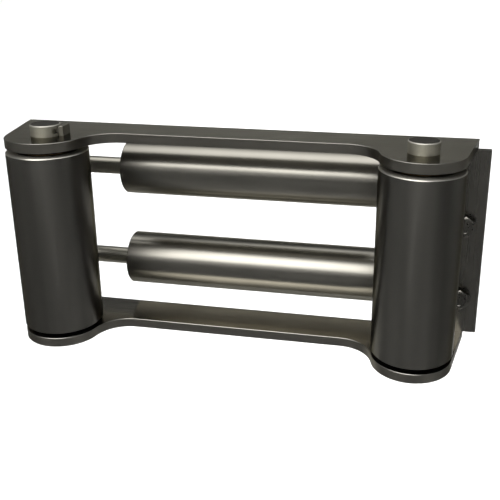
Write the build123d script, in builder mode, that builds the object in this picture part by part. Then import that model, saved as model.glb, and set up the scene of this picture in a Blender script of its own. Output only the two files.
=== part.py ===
from build123d import *
from math import acos, atan2, cos, degrees, hypot, radians, sin, sqrt
import os

# Four-way roller fairlead. Two upright rollers turn on fixed pins between two plates, and two cross
# rollers turn with their shafts in a pair of angle brackets, whose front legs bolt to the boat.
# Frame: X along the cross rollers, Y backwards through the rope window, Z up. The origin is the centre
# of the bolt pattern on the mounting face, which is the brackets' back face.

# Rope window
window_width = 195.4                # clear between the upright rollers
window_height = 33.6                # clear between the cross rollers

# Plates
frame_height = 146.0                # over both plates
plate_thickness = 6.6
plate_bevel = 0.3
roller_line = 44.0                  # upright axes in front of the mounting face
web_depth = 31.2                    # plate between its recess and its back edge
ear_inset = 0.3                     # ear edge inside the roller's face
throat_radius = 23.5                # hollow between recess and ear
corner_offset = 35.7                # back corners outside the upright axes

# Upright rollers
upright_diameter = 54.6
upright_wall = 7.0
roller_edge_chamfer = 0.7
hub_thickness = 16.0
pin_diameter = 20.0
pin_projection = 7.7                # pin beyond each plate
pin_chamfer = 0.6
upright_bush_wall = 3.0
upright_flange_radius = 17.5
upright_flange_thickness = 1.1
thrust_washer_inset = 6.8           # washer rim inside the roller's face
thrust_washer_thickness = 2.2

# Pin keepers
keeper_width = 10.0
keeper_height = 6.6
keeper_reach = 3.4                  # keeper's outer face beyond the pin
keeper_offset = 3.5                 # left keeper's middle behind its pin's axis
keeper_gap = 0.3
keeper_bevel = 0.3
slot_depth = 2.0
slot_height = 3.1
slot_above_plate = 2.0
tongue_clearance = 0.1

# Cross rollers
cross_diameter = 39.6
cross_wall = 4.0
cross_setback = 15.7                # cross axes behind the mounting face
bare_shaft_left = 44.1              # shaft between roller end and left bracket
bare_shaft_right = 39.5             # shaft between roller end and right bracket
shaft_diameter = 12.7
shaft_chamfer = 1.0
plug_thickness = 10.0
plug_recess = 1.0

# Brackets
bracket_thickness = 5.0
leg_offset = 11.0                   # inner face of the back leg outside the upright axes
flange_offset = 44.0                # outer edge of the flange outside the upright axes
bend_radius = 3.0                   # inside of the bend
leg_margin = 22.3                   # back leg behind the cross axes
leg_corner_radius = 22.0
flange_bevel = 0.8

# Shaft bushes in the brackets
shaft_bush_wall = 3.0
shaft_flange_radius = 12.0
shaft_flange_thickness = 1.5

# Mounting bolts, M8 hexagon with plain washers
bolt_offset = 30.7                  # bolts outside the upright axes
bolt_row_spacing = 53.8
bolt_centre_drop = 12.4             # middle of the two bolt rows below mid-height
bolt_diameter = 8.0
shank_diameter = 7.2                # reduced shank between head and thread
thread_start = 0.4                  # thread behind the mounting face
bolt_length = 25.0
bolt_tip_chamfer = 1.0
bolt_hole_clearance = 0.5
head_across_flats = 13.0
head_height = 5.3
head_crown_angle = 60.0             # crown's slope from the bolt's axis
head_crown_inset = 0.4              # flat top's rim inside the flats
bolt_washer_radius = 8.0
bolt_washer_thickness = 1.6

# Washers and retaining rings
pin_washer_radius = 18.0
pin_washer_thickness = 2.5
shaft_washer_radius = 12.0
shaft_washer_thickness = 1.5
ring_thickness = 1.2
ring_width_share = 0.27             # ring's mean width as a share of its groove radius
ring_eccentric_share = 0.08         # shift of the outer circle away from the gap
groove_depth = 0.5
lug_share = 0.2                     # lug radius as a share of the groove radius
lug_angle = 20.0                    # lug from the middle of the gap
ring_gap_share = 0.22               # gap between the ring's ends as a share of the groove radius

# Fits, all radial or end to end
running_clearance = 0.05
seat_clearance = 0.02
washer_clearance = 0.2
end_play = 0.1

# Places worked out from the sizes above
pin_radius = pin_diameter / 2
shaft_radius = shaft_diameter / 2
upright_radius = upright_diameter / 2
cross_radius = cross_diameter / 2
upright_x = window_width / 2 + upright_radius
upright_y = -roller_line
middle_z = bolt_centre_drop
top_outer = middle_z + frame_height / 2
top_inner = top_outer - plate_thickness
bottom_outer = middle_z - frame_height / 2
bottom_inner = bottom_outer + plate_thickness
leg_inner_x = upright_x + leg_offset
leg_outer_x = leg_inner_x + bracket_thickness
cross_ends = {"left": bare_shaft_left - leg_inner_x, "right": leg_inner_x - bare_shaft_right}
cross_rise = window_height / 2 + cross_radius
roller_top = top_inner - thrust_washer_thickness - end_play - upright_flange_thickness
roller_bottom = bottom_inner + thrust_washer_thickness + end_play + upright_flange_thickness
bolt_x = upright_x + bolt_offset
bolt_rows = (-bolt_row_spacing / 2, bolt_row_spacing / 2)
sides = (("left", -1), ("right", 1))
levels = (("upper", 1), ("lower", -1))

os.makedirs("parts", exist_ok=True)


def upright_plane(sign, z):
    """Level plane centred on one upright axis at height z."""
    return Plane((sign * upright_x, upright_y, z))


def cross_plane(level, x, facing=1):
    """Plane square to one cross axis at x, facing along +X or -X."""
    centre = (x, cross_setback, middle_z + level * cross_rise)
    return Plane(centre, x_dir=(0, facing, 0), z_dir=(facing, 0, 0))


def make_bush(seat, bore_radius, wall, barrel_length, flange_radius, flange_thickness):
    """Flanged bush whose flange rests on the seat plane and whose barrel goes in behind it."""
    with BuildPart() as bush:
        with BuildSketch(seat):
            Circle(flange_radius)
        extrude(amount=flange_thickness)
        with BuildSketch(seat):
            Circle(bore_radius + wall)
        extrude(amount=-barrel_length)
        with BuildSketch(seat.offset(flange_thickness)):
            Circle(bore_radius)
        extrude(amount=-flange_thickness - barrel_length, mode=Mode.SUBTRACT)
    return bush


def make_disc(planes, outer_radius, inner_radius, thickness):
    """Flat ring, hub or washer standing on each plane."""
    with BuildPart() as disc:
        with BuildSketch(*planes):
            Circle(outer_radius)
            Circle(inner_radius, mode=Mode.SUBTRACT)
        extrude(amount=thickness)
    return disc


def make_retaining_ring(planes, groove_radius):
    """Open spring ring, widest opposite its gap, with a lug for the pliers at each end."""
    lug_radius = lug_share * groove_radius
    lug_centre = groove_radius + lug_radius
    with BuildPart() as ring:
        with BuildSketch(*planes):
            with Locations((0, -ring_eccentric_share * groove_radius)):
                Circle(groove_radius * (1 + ring_width_share))
            with PolarLocations(lug_centre, 2, 90 - lug_angle, 2 * lug_angle, endpoint=True):
                Circle(lug_radius)
            Circle(groove_radius + seat_clearance, mode=Mode.SUBTRACT)
            with Locations((0, groove_radius)):
                Rectangle(ring_gap_share * groove_radius, groove_radius, mode=Mode.SUBTRACT)
        extrude(amount=ring_thickness)
    return ring


# Plates: a straight back edge, a rounded ear over each roller and a recess between them with hollow
# throats. The throat's arc meets the recess and the ear's arc smoothly, and a straight flank runs
# from the ear to the back corner.
ear_radius = upright_radius - ear_inset
recess_y = -web_depth
corner_x = upright_x + corner_offset
throat_y = recess_y - throat_radius
throat_x = upright_x - sqrt((ear_radius + throat_radius) ** 2 - (throat_y - upright_y) ** 2)
throat_end = degrees(atan2(upright_y - throat_y, upright_x - throat_x))
flank_length = hypot(corner_offset, roller_line)
ear_end = degrees(atan2(roller_line, corner_offset) - acos(ear_radius / flank_length))
with BuildSketch() as plate_outline:
    with BuildLine():
        Line((0, recess_y), (throat_x, recess_y))
        CenterArc((throat_x, throat_y), throat_radius, 90, throat_end - 90)
        ear = CenterArc((upright_x, upright_y), ear_radius, 180 + throat_end, 180 + ear_end - throat_end)
        Line(ear @ 1, (corner_x, 0))
        Line((corner_x, 0), (0, 0))
        mirror(about=Plane.YZ)
    make_face()

for name, plate_base in (("top_plate", top_inner), ("bottom_plate", bottom_outer)):
    with BuildPart() as plate:
        with BuildSketch(Plane.XY.offset(plate_base)):
            add(plate_outline.sketch)
        extrude(amount=plate_thickness)
        chamfer(plate.faces().filter_by(Axis.Z).edges(), plate_bevel)
        with Locations(*[(sign * upright_x, upright_y, plate_base) for side, sign in sides]):
            Hole(pin_radius + seat_clearance)
    plate.part.label = name
    export_step(plate.part, f"parts/{name}.step")

# Brackets: flat bar bent square. The front leg is the mounting flange between the plates, and the back
# leg, with rounded corners, carries the bushes of both cross shafts.
leg_back = cross_setback + leg_margin
for side, sign in sides:
    front_corner = (sign * leg_inner_x, -bracket_thickness)
    back_corner = (sign * leg_outer_x, 0)
    flange_edge_x = sign * (upright_x + flange_offset)
    with BuildPart() as bracket:
        with BuildSketch(Plane.XY.offset(bottom_inner)) as bar:
            with BuildLine():
                Polyline(
                    front_corner,
                    (flange_edge_x, -bracket_thickness),
                    (flange_edge_x, 0),
                    back_corner,
                    (sign * leg_outer_x, leg_back),
                    (sign * leg_inner_x, leg_back),
                    close=True,
                )
            make_face()
            fillet(bar.vertices().sort_by_distance(front_corner)[0], bend_radius + bracket_thickness)
            fillet(bar.vertices().sort_by_distance(back_corner)[0], bend_radius)
        extrude(amount=top_inner - bottom_inner)
        fillet(bracket.edges().filter_by(Axis.X).group_by(Axis.Y)[-1], leg_corner_radius)
        front_face = bracket.faces().sort_by(Axis.Y)[0]
        chamfer(front_face.edges().filter_by(Axis.Z).sort_by(Axis.X)[0 if sign < 0 else -1], flange_bevel)
        with BuildSketch(Plane.YZ.offset(sign * leg_inner_x)):
            with Locations(*[(cross_setback, middle_z + level * cross_rise) for word, level in levels]):
                Circle(shaft_radius + running_clearance + shaft_bush_wall + seat_clearance)
        extrude(amount=sign * bracket_thickness, mode=Mode.SUBTRACT)
        with BuildSketch(Plane.XZ):
            with Locations(*[(sign * bolt_x, row) for row in bolt_rows]):
                Circle(bolt_diameter / 2 + bolt_hole_clearance)
        extrude(amount=bracket_thickness, mode=Mode.SUBTRACT)
    bracket.part.label = f"{side}_bracket"
    export_step(bracket.part, f"parts/{side}_bracket.step")

# Pins: round bar with broken ends, a slot on one side for the keeper's tongue just above the top plate
# and a groove for the retaining ring just under the washer below the bottom plate. The left pin's slot
# faces the rope window, the right pin's faces backwards.
pin_top = top_outer + pin_projection
pin_bottom = bottom_outer - pin_projection
slot_bottom = top_outer + slot_above_plate
ring_seat = bottom_outer - pin_washer_thickness - end_play
keeper_places = {"left": (0, keeper_offset), "right": (90, 0)}
for side, sign in sides:
    heading_angle, side_offset = keeper_places[side]
    heading = radians(heading_angle)
    outward = Vector(cos(heading), sin(heading), 0)
    sideways = Vector(-sin(heading), cos(heading), 0)
    slot_plane = Plane((sign * upright_x, upright_y, slot_bottom), x_dir=outward, z_dir=(0, 0, 1))
    with BuildPart() as pin:
        with BuildSketch(upright_plane(sign, pin_bottom)):
            Circle(pin_radius)
        extrude(amount=pin_top - pin_bottom)
        chamfer(pin.edges().filter_by(GeomType.CIRCLE), pin_chamfer)
        with BuildSketch(slot_plane):
            with Locations((pin_radius, 0)):
                Rectangle(2 * slot_depth, pin_diameter)
        extrude(amount=slot_height, mode=Mode.SUBTRACT)
        with BuildSketch(upright_plane(sign, ring_seat - ring_thickness - end_play)):
            Circle(pin_radius)
            Circle(pin_radius - groove_depth, mode=Mode.SUBTRACT)
        extrude(amount=ring_thickness + end_play, mode=Mode.SUBTRACT)
    pin.part.label = f"{side}_pin"
    export_step(pin.part, f"parts/{side}_pin.step")

    # Keeper: a block standing on the top plate, with a tongue that stops the pin turning or falling.
    keeper_centre = Vector(sign * upright_x, upright_y, top_outer) + sideways * side_offset
    keeper_plane = Plane(keeper_centre, x_dir=outward, z_dir=-sideways)
    block_inner = pin_radius + keeper_gap
    block_outer = pin_radius + keeper_reach
    tongue_inner = pin_radius - slot_depth + tongue_clearance
    with BuildPart() as keeper:
        with BuildSketch(keeper_plane):
            with Locations(((block_inner + block_outer) / 2, keeper_height / 2)):
                Rectangle(block_outer - block_inner, keeper_height)
            with Locations(((tongue_inner + block_outer) / 2, slot_above_plate + slot_height / 2)):
                Rectangle(block_outer - tongue_inner, slot_height - 2 * tongue_clearance)
        extrude(amount=keeper_width / 2, both=True)
        chamfer(keeper.faces().sort_by(Axis.Z)[-1].edges(), keeper_bevel)
    keeper.part.label = f"{side}_pin_keeper"
    export_step(keeper.part, f"parts/{side}_pin_keeper.step")

    washer = make_disc(
        [upright_plane(sign, bottom_outer - pin_washer_thickness)],
        pin_washer_radius,
        pin_radius + washer_clearance,
        pin_washer_thickness,
    )
    washer.part.label = f"{side}_pin_washer"
    export_step(washer.part, f"parts/{side}_pin_washer.step")

    ring = make_retaining_ring([upright_plane(sign, ring_seat - ring_thickness)], pin_radius - groove_depth)
    ring.part.label = f"{side}_pin_ring"
    export_step(ring.part, f"parts/{side}_pin_ring.step")

# Upright rollers: thick tube with a pressed hub in each end, a flanged bush in each hub, and a plastic
# thrust washer between the bush's flange and the plate.
tube_bore = upright_radius - upright_wall
pin_bore = pin_radius + running_clearance
bush_radius = pin_bore + upright_bush_wall
for side, sign in sides:
    with BuildPart() as tube:
        with BuildSketch(upright_plane(sign, roller_bottom)):
            Circle(upright_radius)
            Circle(tube_bore, mode=Mode.SUBTRACT)
        extrude(amount=roller_top - roller_bottom)
        chamfer(tube.edges().filter_by(GeomType.CIRCLE).group_by(SortBy.RADIUS)[-1], roller_edge_chamfer)
    tube.part.label = f"{side}_roller_tube"
    export_step(tube.part, f"parts/{side}_roller_tube.step")

    for word, level in levels:
        end_z = roller_top if level > 0 else roller_bottom
        hub_base = roller_top - hub_thickness if level > 0 else roller_bottom
        hub = make_disc(
            [upright_plane(sign, hub_base)],
            tube_bore - seat_clearance,
            bush_radius + seat_clearance,
            hub_thickness,
        )
        hub.part.label = f"{side}_roller_{word}_hub"
        export_step(hub.part, f"parts/{side}_roller_{word}_hub.step")

        seat = Plane((sign * upright_x, upright_y, end_z), z_dir=(0, 0, level))
        bush = make_bush(
            seat, pin_bore, upright_bush_wall, hub_thickness, upright_flange_radius, upright_flange_thickness
        )
        bush.part.label = f"{side}_roller_{word}_bush"
        export_step(bush.part, f"parts/{side}_roller_{word}_bush.step")

        washer_base = top_inner - thrust_washer_thickness if level > 0 else bottom_inner
        thrust_washer = make_disc(
            [upright_plane(sign, washer_base)],
            upright_radius - thrust_washer_inset,
            pin_radius + washer_clearance,
            thrust_washer_thickness,
        )
        thrust_washer.part.label = f"{side}_{word}_thrust_washer"
        export_step(thrust_washer.part, f"parts/{side}_{word}_thrust_washer.step")

# Cross rollers: tube closed by a plug in each end, both plugs fixed to one long shaft. The shaft turns
# in the bracket bushes and is held endways by a washer and a ring outside each bracket.
washer_face = leg_outer_x + end_play
ring_face = washer_face + shaft_washer_thickness
shaft_half = ring_face + 2 * ring_thickness + end_play + shaft_chamfer
for word, level in levels:
    with BuildPart() as tube:
        with BuildSketch(cross_plane(level, cross_ends["left"])):
            Circle(cross_radius)
            Circle(cross_radius - cross_wall, mode=Mode.SUBTRACT)
        extrude(amount=cross_ends["right"] - cross_ends["left"])
        chamfer(tube.edges().filter_by(GeomType.CIRCLE).group_by(SortBy.RADIUS)[-1], roller_edge_chamfer)
    tube.part.label = f"{word}_cross_tube"
    export_step(tube.part, f"parts/{word}_cross_tube.step")

    for side, sign in sides:
        plug_inner_x = cross_ends[side] - sign * (plug_recess + plug_thickness)
        plug = make_disc(
            [cross_plane(level, plug_inner_x, sign)],
            cross_radius - cross_wall - seat_clearance,
            shaft_radius + seat_clearance,
            plug_thickness,
        )
        plug.part.label = f"{word}_cross_{side}_plug"
        export_step(plug.part, f"parts/{word}_cross_{side}_plug.step")

        shaft_bush = make_bush(
            cross_plane(level, sign * leg_inner_x, -sign),
            shaft_radius + running_clearance,
            shaft_bush_wall,
            bracket_thickness,
            shaft_flange_radius,
            shaft_flange_thickness,
        )
        shaft_bush.part.label = f"{word}_{side}_shaft_bush"
        export_step(shaft_bush.part, f"parts/{word}_{side}_shaft_bush.step")

    with BuildPart() as shaft:
        with BuildSketch(cross_plane(level, -shaft_half)):
            Circle(shaft_radius)
        extrude(amount=2 * shaft_half)
        chamfer(shaft.edges().filter_by(GeomType.CIRCLE), shaft_chamfer)
        with BuildSketch(cross_plane(level, ring_face), cross_plane(level, -ring_face, -1)):
            Circle(shaft_radius)
            Circle(shaft_radius - groove_depth, mode=Mode.SUBTRACT)
        extrude(amount=ring_thickness + end_play, mode=Mode.SUBTRACT)
    shaft.part.label = f"{word}_cross_shaft"
    export_step(shaft.part, f"parts/{word}_cross_shaft.step")

    washers = make_disc(
        [cross_plane(level, washer_face), cross_plane(level, -washer_face, -1)],
        shaft_washer_radius,
        shaft_radius + seat_clearance,
        shaft_washer_thickness,
    )
    washers.part.label = f"{word}_cross_washers"
    export_step(washers.part, f"parts/{word}_cross_washers.step")

    ring_planes = [cross_plane(level, ring_face), cross_plane(level, -ring_face, -1)]
    rings = make_retaining_ring(ring_planes, shaft_radius - groove_depth)
    rings.part.label = f"{word}_cross_rings"
    export_step(rings.part, f"parts/{word}_cross_rings.step")

# Mounting bolts: hexagon heads with one corner up and a crowned top, over plain washers on the
# flange's front. A reduced shank passes the flange and the thread stands out of the mounting face.
flange_front = Plane.XZ.offset(bracket_thickness)
head_seat = flange_front.offset(bolt_washer_thickness)
head_top = head_seat.offset(head_height)
shank_length = bolt_washer_thickness + bracket_thickness + thread_start
for side, sign in sides:
    places = [(sign * bolt_x, row) for row in bolt_rows]
    with BuildPart() as bolts:
        with BuildSketch(head_seat):
            with Locations(*places):
                RegularPolygon(head_across_flats / 2, 6, major_radius=False, rotation=30)
        extrude(amount=head_height)
        with BuildSketch(head_top):
            with Locations(*places):
                Circle(head_across_flats / 2 - head_crown_inset)
        extrude(amount=-head_height, taper=-head_crown_angle, mode=Mode.INTERSECT)
        with BuildSketch(head_seat):
            with Locations(*places):
                Circle(shank_diameter / 2)
        extrude(amount=-shank_length)
        with BuildSketch(head_seat.offset(-shank_length)):
            with Locations(*places):
                Circle(bolt_diameter / 2)
        extrude(amount=shank_length - bolt_length)
        tips = bolts.edges().filter_by(GeomType.CIRCLE).group_by(Axis.Y)[-1]
        chamfer(tips, bolt_tip_chamfer)
    bolts.part.label = f"{side}_mounting_bolts"
    export_step(bolts.part, f"parts/{side}_mounting_bolts.step")

    with BuildPart() as bolt_washers:
        with BuildSketch(flange_front):
            with Locations(*places):
                Circle(bolt_washer_radius)
                Circle(bolt_diameter / 2 + washer_clearance, mode=Mode.SUBTRACT)
        extrude(amount=bolt_washer_thickness)
    bolt_washers.part.label = f"{side}_bolt_washers"
    export_step(bolt_washers.part, f"parts/{side}_bolt_washers.step")
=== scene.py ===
import math
import bmesh
import bpy
import numpy as np
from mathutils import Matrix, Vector


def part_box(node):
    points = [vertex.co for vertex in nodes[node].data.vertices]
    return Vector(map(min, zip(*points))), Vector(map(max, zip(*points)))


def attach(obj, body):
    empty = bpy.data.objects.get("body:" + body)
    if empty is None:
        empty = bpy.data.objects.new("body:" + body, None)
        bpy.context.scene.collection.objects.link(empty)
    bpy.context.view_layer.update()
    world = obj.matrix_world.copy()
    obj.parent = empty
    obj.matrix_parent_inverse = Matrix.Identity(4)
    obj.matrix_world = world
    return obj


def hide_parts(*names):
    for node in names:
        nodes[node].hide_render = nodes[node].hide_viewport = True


# Roller fairlead in metres. X runs along the cross rollers, Y points backwards through the rope
# window and Z is up. The mounting face is the plane Y = 0.
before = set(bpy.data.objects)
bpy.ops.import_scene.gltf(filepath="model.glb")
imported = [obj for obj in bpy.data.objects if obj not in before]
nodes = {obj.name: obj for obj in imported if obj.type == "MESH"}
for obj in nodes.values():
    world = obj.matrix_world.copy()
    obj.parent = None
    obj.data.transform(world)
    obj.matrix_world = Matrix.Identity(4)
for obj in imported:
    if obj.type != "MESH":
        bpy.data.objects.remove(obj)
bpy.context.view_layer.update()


# View: a long lens in front of the fairlead, a little to its right and above it.
camera_data = bpy.data.cameras.new("camera")
camera_data.sensor_width = 36
camera_data.lens = 53.70
camera_data.shift_x = -0.0614
camera_data.shift_y = -0.0730
camera_data.clip_start = 0.01
camera_data.clip_end = 50
camera = bpy.data.objects.new("camera", camera_data)
camera.location = (0.124171, -0.495914, 0.199559)
camera.rotation_euler = (math.radians(70.881), 0, math.radians(11.060))
bpy.context.scene.collection.objects.link(camera)
bpy.context.scene.camera = camera


# Plates: two dog-bone plates cut from bright bar, with the level grain of ground bar on their faces
# and cut edges, and thin broken edges.
def start_material(name):
    """New node material with its node tree and shader, and a node for the object's coordinates."""
    material = bpy.data.materials.new(name)
    material.use_nodes = True
    tree = material.node_tree
    tree.nodes.new("ShaderNodeTexCoord")
    return material, tree, tree.nodes["Principled BSDF"]


def add_noise(tree, scale, stretch=(1, 1, 1), detail=3, shift=(0, 0, 0)):
    """Noise of so many cells to the metre, drawn out along an axis by a small factor there."""
    mapping = tree.nodes.new("ShaderNodeMapping")
    mapping.inputs["Location"].default_value = shift
    mapping.inputs["Scale"].default_value = stretch
    place = tree.nodes["Texture Coordinate"].outputs["Object"]
    tree.links.new(place, mapping.inputs["Vector"])
    noise = tree.nodes.new("ShaderNodeTexNoise")
    noise.inputs["Scale"].default_value = scale
    noise.inputs["Detail"].default_value = detail
    tree.links.new(mapping.outputs["Vector"], noise.inputs["Vector"])
    return noise.outputs["Fac"]


def add_range(tree, value, low, high, start, end):
    """A value carried in a straight line from low..high to start..end, and held at the ends."""
    step = tree.nodes.new("ShaderNodeMapRange")
    limits = {"From Min": low, "From Max": high, "To Min": start, "To Max": end}
    for socket, number in limits.items():
        step.inputs[socket].default_value = number
    tree.links.new(value, step.inputs["Value"])
    return step.outputs["Result"]


def add_mix(tree, factor, first, second):
    """Colour mixed from first to second by the factor."""
    mix = tree.nodes.new("ShaderNodeMix")
    mix.data_type = "RGBA"
    tree.links.new(factor, mix.inputs["Factor"])
    for socket, colour in ((mix.inputs[6], first), (mix.inputs[7], second)):
        if isinstance(colour, tuple):
            socket.default_value = (*colour, 1)
        else:
            tree.links.new(colour, socket)
    return mix.outputs[2]


def add_math(tree, operation, *values):
    """Sum done on the values, each of them a number or another node's output."""
    sum_node = tree.nodes.new("ShaderNodeMath")
    sum_node.operation = operation
    for socket, value in zip(sum_node.inputs, values):
        if isinstance(value, (int, float)):
            socket.default_value = value
        else:
            tree.links.new(value, socket)
    return sum_node.outputs["Value"]


def add_tone(tree, shader, noise, limits, dark, light):
    """Base colour that goes from dark to light as the noise goes from limit to limit."""
    tone = add_mix(tree, add_range(tree, noise, *limits, 0, 1), dark, light)
    tree.links.new(tone, shader.inputs["Base Color"])


def start_steel(name, gloss, stretch, grain=900, edge=0.3, depth=0.15):
    """Bare steel whose fine grain, drawn out along an axis, is smooth in its furrows and rough
    between them. Edge is what is left of the shine where it is seen at a glance, and depth is the
    furrows' height in hundredths of a millimetre."""
    material, tree, shader = start_material(name)
    shader.inputs["Metallic"].default_value = 1
    shader.inputs["Specular Tint"].default_value = (edge, edge, 0.95 * edge, 1)
    streak = add_noise(tree, grain, stretch, 4)
    tree.links.new(add_range(tree, streak, 0.35, 0.65, *gloss), shader.inputs["Roughness"])
    bump = tree.nodes.new("ShaderNodeBump")
    bump.inputs["Strength"].default_value = 0.3
    bump.inputs["Distance"].default_value = 0.00001 * depth
    tree.links.new(streak, bump.inputs["Height"])
    tree.links.new(bump.outputs["Normal"], shader.inputs["Normal"])
    return material, tree, shader


def clouded_steel(name, dark, light, gloss, stretch, grain=900, cloud_scale=26, **surface):
    """Steel with faint clouds between a dark and a light colour."""
    material, tree, shader = start_steel(name, gloss, stretch, grain, **surface)
    cloud = add_noise(tree, cloud_scale, detail=4)
    add_tone(tree, shader, cloud, (0.32, 0.68), dark, light)
    return material, tree, shader


def dress(names, material):
    """Gives each named piece of the frame its finish."""
    for name in names:
        mesh = nodes[name].data
        mesh.materials.clear()
        mesh.materials.append(material)


def add_faces(tree, shader, beside, sloped, square, both_ends=True):
    """Colour and extra roughness by the way a face looks: beside the upward axis, on the slope of a
    broken edge, or squarely along the axis, at both ends or at the upper one alone. The level of a
    face is the upward part of its normal. A colour of None leaves the one that is there."""
    parts = tree.nodes.new("ShaderNodeSeparateXYZ")
    tree.links.new(tree.nodes["Texture Coordinate"].outputs["Normal"], parts.inputs["Vector"])
    level = parts.outputs["Z"]
    if both_ends:
        level = add_math(tree, "ABSOLUTE", level)
    rising = add_range(tree, level, 0.25, 0.45, 0, 1)
    falling = add_range(tree, level, 0.8, 0.95, 1, 0)
    shares = (
        (add_range(tree, level, 0.2, 0.5, 1, 0), beside),
        (add_range(tree, level, 0.7, 0.95, 0, 1), square),
        (add_math(tree, "MULTIPLY", rising, falling), sloped),
    )
    for share, (colour, roughness) in shares:
        if colour:
            tone = shader.inputs["Base Color"].links[0].from_socket
            tree.links.new(add_mix(tree, share, tone, colour), shader.inputs["Base Color"])
        if roughness:
            gloss = shader.inputs["Roughness"].links[0].from_socket
            rougher = add_math(tree, "MULTIPLY_ADD", share, roughness, gloss)
            tree.links.new(rougher, shader.inputs["Roughness"])


plate_steel, tree, shader = clouded_steel(
    "plate_steel", (0.37, 0.353, 0.313), (0.44, 0.42, 0.373), (0.16, 0.22), (0.02, 1, 1), depth=0.05
)
plate_side, plate_slope = (0.235, 0.222, 0.192), (0.28, 0.27, 0.243)
add_faces(tree, shader, (plate_side, 0.12), (plate_slope, 0.15), (None, 0))
dress(["top_plate", "bottom_plate"], plate_steel)


# Brackets: flat bar bent square. The front leg is the mounting flange, and the back leg holds
# flanged bronze bushes for the cross shafts.
bracket_steel = clouded_steel(
    "bracket_steel", (0.18, 0.171, 0.15), (0.215, 0.205, 0.181), (0.27, 0.3), (1, 1, 0.03),
    depth=0.02,
)[0]
dress(["left_bracket", "right_bracket"], bracket_steel)
bronze = clouded_steel(
    "bronze", (0.36, 0.23, 0.11), (0.44, 0.29, 0.14), (0.25, 0.4), (0.3, 1, 1), edge=0.7
)[0]
for level in ("upper", "lower"):
    dress([f"{level}_{side}_shaft_bush" for side in ("left", "right")], bronze)


# Pins: ground round bar, held in the plates by a keeper block in a slot, with a washer and a spring
# ring underneath. Their upward ends are coloured much darker than the ground sides, and the
# chamfers round them a little lighter.
def surface_piece(name, grids, material, body, node=None):
    """Piece from grids of points (rows, columns, 3) whose columns close round them, and whose rows
    close too where the grid comes with True. Six times a grid's volume is the sum over its
    triangles of the triple product of their corners: where that is negative, its faces are turned
    outwards."""
    same_spot, sharp_angle = 1e-7, math.radians(35)
    spots, faces, count = [], [], 0
    for points, rows_closed in grids:
        rows, columns = points.shape[:2]
        index = np.arange(rows * columns).reshape(rows, columns)
        upper = index if rows_closed else index[:-1]
        lower = np.roll(index, -1, axis=0) if rows_closed else index[1:]
        quads = np.stack([upper, np.roll(upper, -1, 1), np.roll(lower, -1, 1), lower], axis=-1)
        quads = quads.reshape(-1, 4)
        flat = points.reshape(-1, 3)
        a, b, c, d = (flat[quads[:, k]] - flat.mean(axis=0) for k in range(4))
        if np.sum(a * (np.cross(b, c) + np.cross(c, d))) < 0:
            quads = quads[:, ::-1]
        spots.append(flat)
        faces.append(quads + count)
        count += len(flat)
    mesh = bpy.data.meshes.new(name)
    mesh.from_pydata(np.vstack(spots).tolist(), [], np.vstack(faces).tolist())
    merged = bmesh.new()
    merged.from_mesh(mesh)
    bmesh.ops.remove_doubles(merged, verts=merged.verts, dist=same_spot)
    merged.to_mesh(mesh)
    merged.free()
    mesh.shade_smooth()
    mesh.set_sharp_from_angle(angle=sharp_angle)
    mesh.materials.append(material)
    piece = bpy.data.objects.new(name, mesh)
    bpy.context.scene.collection.objects.link(piece)
    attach(piece, body)
    if node:
        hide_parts(node)


def turned(radius, along, centre, axis, steps):
    """Grid of a turned piece: each profile point makes a circle of its radius round the axis, at
    its distance along the axis from the centre. Radius and distance may also change round the
    axis."""
    angle = np.linspace(0, 2 * np.pi, steps, endpoint=False)
    radius, along = np.asarray(radius, dtype=float), np.asarray(along, dtype=float)
    radius = radius[:, None] if radius.ndim == 1 else radius
    along = np.broadcast_to(along[:, None] if along.ndim == 1 else along, (len(along), steps))
    across, over = radius * np.cos(angle), radius * np.sin(angle)
    order = {
        "X": (along, across, over),
        "Y": (across, along, over),
        "Z": (across, over, along),
    }
    return np.stack(order[axis], axis=-1) + np.array(centre)


def spring_ring(groove_radius, thickness, centre, axis):
    """Grids of a stamped spring ring lying between the centre and its thickness further along the
    axis. Its band runs round the groove from under the first lug up to the second. It is narrow
    beside the gap and wide opposite it, as the outer circle's middle is shifted away from the gap:
    outer radius = groove radius * (1.27 - 0.08 * cosine of the angle from the gap). Each lug is a
    short tube."""
    band_start, band_end, band_points = 12, 332, 90
    inner_share, outer_share, outer_shift = 1.004, 1.27, 0.08
    lug_angle, lug_share, hole_share, lug_points = 20, 0.2, 0.5, 28
    near, far = 0.06, 0.94      # shares of the width or thickness at which a corner is broken
    angle = np.radians(np.linspace(band_start, band_end, band_points))[:, None]
    inner = groove_radius * inner_share
    outer = groove_radius * (outer_share - outer_shift * np.cos(angle))
    across = np.array([near, far, 1, 1, far, near, 0, 0])[None, :]
    level = np.array([0, 0, near, far, 1, 1, far, near])[None, :]
    reach = inner + (outer - inner) * across
    height = thickness * level + 0 * angle
    band = np.stack([reach * np.sin(angle), reach * np.cos(angle), height], axis=-1)
    middles = np.broadcast_to(band.mean(axis=1, keepdims=True), band.shape)
    band = np.concatenate([middles[:1], band, middles[-1:]])
    lug = lug_share * groove_radius
    eye_radius = np.array([hole_share, far, 1, 1, far, hole_share]) * lug
    eye_level = np.array([0, 0, near, far, 1, 1]) * thickness
    grids = [(band, False)]
    for side in (-1, 1):
        turn = math.radians(side * lug_angle)
        eye = ((groove_radius + lug) * math.sin(turn), (groove_radius + lug) * math.cos(turn), 0)
        grids.append((turned(eye_radius, eye_level, eye, "Z", lug_points), True))
    order = {"X": (2, 0, 1), "Z": (0, 1, 2)}[axis]
    return [(grid[..., order] + np.array(centre), closed) for grid, closed in grids]


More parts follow.
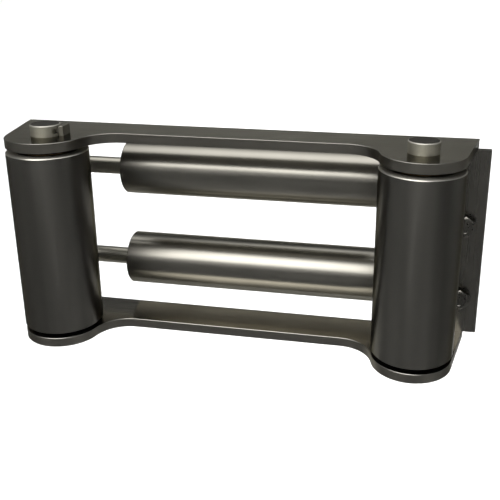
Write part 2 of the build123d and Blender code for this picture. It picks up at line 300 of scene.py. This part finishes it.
pin_steel, tree, shader = clouded_steel(
    "pin_steel", (0.34, 0.328, 0.274), (0.44, 0.425, 0.355), (0.5, 0.6), (1, 1, 0.05), 1500, 90
)
pin_slope, pin_end = (0.5, 0.485, 0.43), (0.08, 0.077, 0.07)
add_faces(tree, shader, (None, 0), (pin_slope, 0), (pin_end, 0))
dress(["left_pin", "right_pin"], pin_steel)
keeper_steel = clouded_steel(
    "keeper_steel", (0.24, 0.23, 0.197), (0.3, 0.288, 0.246), (0.4, 0.5), (1, 1, 0.1), 1500
)[0]
dress(["left_pin_keeper", "right_pin_keeper"], keeper_steel)
washer_steel = clouded_steel(
    "washer_steel", (0.2, 0.193, 0.172), (0.26, 0.25, 0.223), (0.32, 0.4), (1, 1, 0.2), 800,
    depth=0.05,
)[0]
dress(["left_pin_washer", "right_pin_washer"], washer_steel)
spring_steel = clouded_steel(
    "spring_steel", (0.045, 0.044, 0.042), (0.07, 0.068, 0.064), (0.34, 0.42), (1, 1, 1), 1000,
    depth=0.05,
)[0]
pin_groove = 0.0095
for side in ("left", "right"):
    low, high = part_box(f"{side}_pin_ring")
    pin_low, pin_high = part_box(f"{side}_pin")
    centre = ((pin_low.x + pin_high.x) / 2, (pin_low.y + pin_high.y) / 2, low.z)
    ring = spring_ring(pin_groove, high.z - low.z, centre, "Z")
    surface_piece(
        f"{side}_pin_clip", ring, spring_steel, "frame", f"{side}_pin_ring"
    )


# Upright rollers: thick turned tube with narrow broken lips over pressed hubs and flanged bronze
# bushes, running between thrust washers of black plastic whose near-black is partly painted shade.
def lipped_profile(outer, inner, low, high, lip):
    """Closed profile (radius, along) of a tube whose outer corners are cut by a lip of that size
    each way, and whose inner corners are broken. Every corner is then rounded by an arc that leaves
    its two sides at the same distance. With t from 0 to 1, a point of the arc is its start times
    (1 - t) squared, plus twice the corner times t times (1 - t), plus its end times t squared."""
    broken, rounding, arc_points = 0.0003, 0.00012, 4
    corners = np.array([
        (outer, low + lip), (outer, high - lip), (outer - lip, high), (inner + broken, high),
        (inner, high - broken), (inner, low + broken), (inner + broken, low), (outer - lip, low),
    ])
    before, after = np.roll(corners, 1, axis=0) - corners, np.roll(corners, -1, axis=0) - corners
    start = corners + rounding * before / np.linalg.norm(before, axis=1, keepdims=True)
    end = corners + rounding * after / np.linalg.norm(after, axis=1, keepdims=True)
    t = np.linspace(0, 1, arc_points)[None, :, None]
    arcs = start[:, None] * (1 - t) ** 2 + 2 * corners[:, None] * t * (1 - t) + end[:, None] * t**2
    return arcs.reshape(-1, 2).T


def stretch_gloss(tree, shader, axis, amount):
    """Draws the gloss of a turned or ground piece out round its axis, as far as the amount says."""
    tangent = tree.nodes.new("ShaderNodeTangent")
    tangent.direction_type = "RADIAL"
    tangent.axis = axis
    tree.links.new(tangent.outputs["Tangent"], shader.inputs["Tangent"])
    shader.inputs["Anisotropic"].default_value = amount
    shader.inputs["Anisotropic Rotation"].default_value = 0.25


# The tube's colour is a darker copy of the cross rollers' steel, a painted shade, and runs in faint
# upright light and dark bands, painted reflections placed by the noise's shift.
roller_steel, tree, shader = start_steel(
    "roller_steel", (0.285, 0.315), (1, 1, 0.012), 600, edge=0.22, depth=0.04
)
painted_reflection_bands = add_noise(tree, 60, (1, 1, 0.012), 1, (-0.013, 0.04, 0))
add_tone(tree, shader, painted_reflection_bands, (0.35, 0.65), (0.12, 0.115, 0.102), (0.215, 0.206, 0.184))
stretch_gloss(tree, shader, "Z", 0.5)
# Painted highlight on the lip round the upper end, and painted light on the upper end face, both
# paler than the tube; the lower end keeps the tube's colour.
painted_lip_highlight, painted_end_light = (0.72, 0.7, 0.62), (0.46, 0.44, 0.39)
add_faces(tree, shader, (None, 0), (painted_lip_highlight, 0.02), (painted_end_light, 0.3), both_ends=False)
hub_steel = clouded_steel(
    "hub_steel", (0.2, 0.193, 0.172), (0.25, 0.241, 0.215), (0.32, 0.4), (1, 1, 1), 800, depth=0.05
)[0]

# Thrust washers: black plastic, coloured near-black also as a painted shade for the dark gaps
# between the rollers and the plates.
black_washer_and_gap_shade, tree, shader = start_material("black_washer_and_gap_shade")
grime = add_noise(tree, 300)
add_tone(tree, shader, grime, (0, 1), (0.004, 0.004, 0.004), (0.012, 0.0115, 0.011))
tree.links.new(add_range(tree, grime, 0.3, 0.7, 0.5, 0.7), shader.inputs["Roughness"])
shader.inputs["Specular IOR Level"].default_value = 0.2

upright_wall, upright_lip, shell_steps = 0.007, 0.0006, 128
for side in ("left", "right"):
    low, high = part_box(f"{side}_roller_tube")
    outer = (high.x - low.x) / 2
    middle = ((low.x + high.x) / 2, (low.y + high.y) / 2, 0)
    radius, along = lipped_profile(outer, outer - upright_wall, low.z, high.z, upright_lip)
    shell = [(turned(radius, along, middle, "Z", shell_steps), True)]
    surface_piece(
        f"{side}_roller_shell", shell, roller_steel, f"{side}_roller",
        f"{side}_roller_tube",
    )
    for level in ("upper", "lower"):
        dress([f"{side}_roller_{level}_hub"], hub_steel)
        dress([f"{side}_roller_{level}_bush"], bronze)
        dress([f"{side}_{level}_thrust_washer"], black_washer_and_gap_shade)


# Cross rollers: bright tube ground lengthwise, closed by a recessed plug in each end, with a weld
# bead where the shaft comes out of the plug. Washers and spring rings keep the shaft in its place.
cross_steel, tree, shader = clouded_steel(
    "cross_steel", (0.255, 0.243, 0.212), (0.287, 0.274, 0.239), (0.3, 0.325), (0.015, 1, 1),
    depth=0.02,
)
stretch_gloss(tree, shader, "X", 0.6)
shaft_steel, tree, shader = clouded_steel(
    "shaft_steel", (0.3, 0.287, 0.247), (0.36, 0.345, 0.297), (0.36, 0.42), (0.03, 1, 1), depth=0.03
)
stretch_gloss(tree, shader, "X", 0.5)
weld_steel = clouded_steel(
    "weld_steel", (0.1, 0.095, 0.09), (0.17, 0.15, 0.13), (0.3, 0.5), (1, 1, 1), 600, 200
)[0]


def weld_bead(shaft_radius, face, outward, centre):
    """Grid of a bead whose section is a quarter of an oval between the plug's face and the shaft.
    Its size swells and shrinks with the sine of thirty-four turns round the shaft, laid over
    backwards: size = bead size * (1 + 0.1 * sine of (34 * angle + 1.6 * swing))."""
    bead_size, sunk, ripple, ripples, lean = 0.0016, 0.0002, 0.1, 34, 1.6
    rows, points = 9, 272
    angle = np.linspace(0, 2 * np.pi, points, endpoint=False)[None, :]
    swing = np.linspace(0, 0.5 * np.pi, rows)[:, None]
    size = bead_size * (1 + ripple * np.sin(ripples * angle + lean * swing))
    root = shaft_radius - sunk
    bead_radius = np.vstack([root + size * np.cos(swing), 0 * angle + root])
    bead_along = np.vstack([face + outward * size * np.sin(swing), 0 * angle + face])
    return turned(bead_radius, bead_along, centre, "X", points)


cross_wall, cross_lip, plug_recess = 0.004, 0.0007, 0.001
shaft_groove, shaft_ring_thickness = 0.00585, 0.0012
for level in ("upper", "lower"):
    body = f"{level}_cross_roller"
    low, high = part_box(f"{level}_cross_tube")
    outer = (high.z - low.z) / 2
    middle = (0, (low.y + high.y) / 2, (low.z + high.z) / 2)
    radius, along = lipped_profile(outer, outer - cross_wall, low.x, high.x, cross_lip)
    shell = [(turned(radius, along, middle, "X", shell_steps), True)]
    surface_piece(
        f"{level}_cross_shell", shell, cross_steel, body, f"{level}_cross_tube"
    )

    shaft_low, shaft_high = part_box(f"{level}_cross_shaft")
    shaft_radius = (shaft_high.z - shaft_low.z) / 2
    for side, end_x, outward in (("left", low.x, -1), ("right", high.x, 1)):
        bead = weld_bead(shaft_radius, end_x - outward * plug_recess, outward, middle)
        surface_piece(f"{level}_{side}_bead", [(bead, True)], weld_steel, body)
        dress([f"{level}_cross_{side}_plug"], hub_steel)
    dress([f"{level}_cross_shaft"], shaft_steel)
    dress([f"{level}_cross_washers"], washer_steel)

    ring_low, ring_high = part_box(f"{level}_cross_rings")
    rings = []
    for ring_x in (ring_low.x, ring_high.x - shaft_ring_thickness):
        rings += spring_ring(shaft_groove, shaft_ring_thickness, (ring_x, *middle[1:]), "X")
    surface_piece(
        f"{level}_cross_clips", rings, spring_steel, body, f"{level}_cross_rings"
    )


# Mounting bolts: crowned hexagon heads on plain washers, a smooth shank through the flange and a
# rolled thread behind it.
bolt_steel = clouded_steel(
    "bolt_steel", (0.14, 0.134, 0.118), (0.175, 0.168, 0.148), (0.26, 0.33), (1, 1, 1), 700,
    depth=0.05,
)[0]


def bolt_grid(head_top, seat, tip, centre):
    """Grid of a hexagon bolt along Y, from the pole of its head to the pole of its tip. Round the
    head the radius is half the flats / cosine of the angle from the nearest flat's middle. The
    crown is a cone of thirty degrees that cuts the corners. The thread's radius is the crest's less
    its depth times a wave of the turn: distance / pitch - angle / full turn, flat at crest and
    root."""
    half_flats, crown, crown_slope, dish, dish_depth = 0.0065, 0.0061, 30, 0.0039, 0.0003
    bearing, bearing_height, shank, shank_end, blend = 0.0062, 0.0003, 0.0036, 0.0003, 0.0004
    pitch, crest, depth, crest_flat, flank = 0.00125, 0.00397, 0.0006, 0.15, 0.6
    thread_start, tip_radius, tip_slope, rows, points = 0.0004, 0.0031, 1.1, 145, 72
    angle = np.linspace(0, 2 * np.pi, points, endpoint=False)[None, :]
    ones = np.ones_like(angle)
    flat = half_flats / np.cos((angle + np.pi / 6) % (np.pi / 3) - np.pi / 6)
    head = [(0, head_top + dish_depth), (dish, head_top + dish_depth), (dish + blend, head_top)]
    for share in (0, 0.5, 1):
        reach = crown + (flat - crown) * share
        head.append((reach, head_top + (reach - crown) * math.tan(math.radians(crown_slope))))
    head += [(flat, seat - blend), (bearing, seat - bearing_height), (bearing, seat)]
    head += [(shank + blend, seat), (shank, seat + blend), (shank, shank_end)]
    along = np.linspace(thread_start, tip, rows)[:, None]
    wave = np.abs(2 * ((along / pitch - angle / (2 * np.pi)) % 1) - 1)
    thread = crest - depth * np.clip((wave - crest_flat) / flank, 0, 1)
    thread = np.minimum(thread, tip_radius + (tip - along) * tip_slope)
    radius = np.vstack([row * ones for row, _ in head] + [thread, 0 * ones])
    height = np.vstack([row * ones for _, row in head] + [along * ones, tip * ones])
    return turned(radius, height, centre, "Y", points)


bolt_washer_radius = 0.008
for side in ("left", "right"):
    low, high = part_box(f"{side}_mounting_bolts")
    washer_low, washer_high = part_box(f"{side}_bolt_washers")
    middle_x = (low.x + high.x) / 2
    row = (washer_high.z - washer_low.z) / 2 - bolt_washer_radius
    bolts = [
        (bolt_grid(low.y, washer_low.y, high.y, (middle_x, 0, z)), False) for z in (-row, row)
    ]
    surface_piece(
        f"{side}_bolts", bolts, bolt_steel, "frame", f"{side}_mounting_bolts"
    )
    dress([f"{side}_bolt_washers"], bolt_steel)


# Studio: a pale paper floor well below the fairlead that curves up into a wall all round. Soft
# panels close over and in front of the fairlead light its steel. Lamps near the floor and high
# behind the fairlead light the paper under and behind it.
floor_level, floor_radius, wall_radius, wall_height = -1.5, 3.0, 5.2, 3.2
rise_steps, floor_steps = 33, 128
rise = np.linspace(0, 0.5 * np.pi, rise_steps)
reach = np.concatenate(([0.0], floor_radius + (wall_radius - floor_radius) * np.sin(rise)))
height = np.concatenate(([floor_level], floor_level + wall_height * (1 - np.cos(rise))))
grid = turned(reach, height, (0, 0, 0), "Z", floor_steps)
rows, columns = grid.shape[:2]
index = np.arange(rows * columns).reshape(rows, columns)
after = np.roll(index, -1, axis=1)
faces = np.stack([index[:-1], index[1:], after[1:], after[:-1]], axis=-1).reshape(-1, 4)
floor_mesh = bpy.data.meshes.new("floor")
floor_mesh.from_pydata(grid.reshape(-1, 3).tolist(), [], faces.tolist())
floor_mesh.shade_smooth()
floor = bpy.data.objects.new("floor", floor_mesh)
bpy.context.scene.collection.objects.link(floor)
floor_paper, tree, shader = start_material("floor_paper")
add_tone(tree, shader, add_noise(tree, 2), (0, 1), (0.9, 0.9, 0.895), (0.92, 0.92, 0.915))
shader.inputs["Roughness"].default_value = 1
shader.inputs["Specular IOR Level"].default_value = 0
floor_mesh.materials.append(floor_paper)

# Each lamp: place, point it faces, width, length, power, spread in degrees.
lamps = {
    "front_panel": ((-0.17, -0.82, 0.79), (0, 0, 0), 1.3, 0.8, 3.8, 80),
    "top_panel": ((-0.1, 0.15, 0.95), (0, 0, 0), 1.3, 1.1, 2.8, 80),
    "low_panel": ((-0.22, -0.95, 0.3), (0, 0, 0), 1.3, 0.28, 0.1, 80),
    "front_strip": ((0.02, -0.45, -0.12), (0, -0.05, 0.02), 0.1, 0.16, 0.01, 180),
    "pool_left": ((-1.4, -1.7, -0.5), (-1.4, -1.7, -1.5), 0.8, 0.8, 2, 180),
    "pool_right": ((1.9, -1.1, -0.5), (1.9, -1.1, -1.5), 0.8, 0.8, 3, 180),
    "wash_under": ((0, 0, -0.35), (0, 0, -1.5), 0.8, 0.8, 1.5, 100),
    "wash_near": ((-0.2, 0.9, 1.6), (-0.7, 3.0, -1.5), 3.5, 0.5, 68, 90),
    "wash_wall": ((-0.5, 1.6, 1.5), (-0.8, 5.1, -0.1), 3.4, 0.5, 25, 75),
}
for name, (spot, target, width, length, power, spread) in lamps.items():
    lamp = bpy.data.lights.new(name, "AREA")
    lamp.shape = "RECTANGLE"
    lamp.size = width
    lamp.size_y = length
    lamp.energy = power
    lamp.spread = math.radians(spread)
    panel = bpy.data.objects.new(name, lamp)
    panel.location = spot
    panel.rotation_euler = (Vector(target) - Vector(spot)).to_track_quat("-Z", "Y").to_euler()
    panel.visible_camera = False
    bpy.context.scene.collection.objects.link(panel)

world = bpy.data.worlds.new("world")
world.use_nodes = True
sky = world.node_tree.nodes["Background"]
sky.inputs["Color"].default_value = (0.95, 0.97, 1, 1)
sky.inputs["Strength"].default_value = 0.12
bpy.context.scene.world = world
bpy.context.scene.view_settings.view_transform = "Standard"
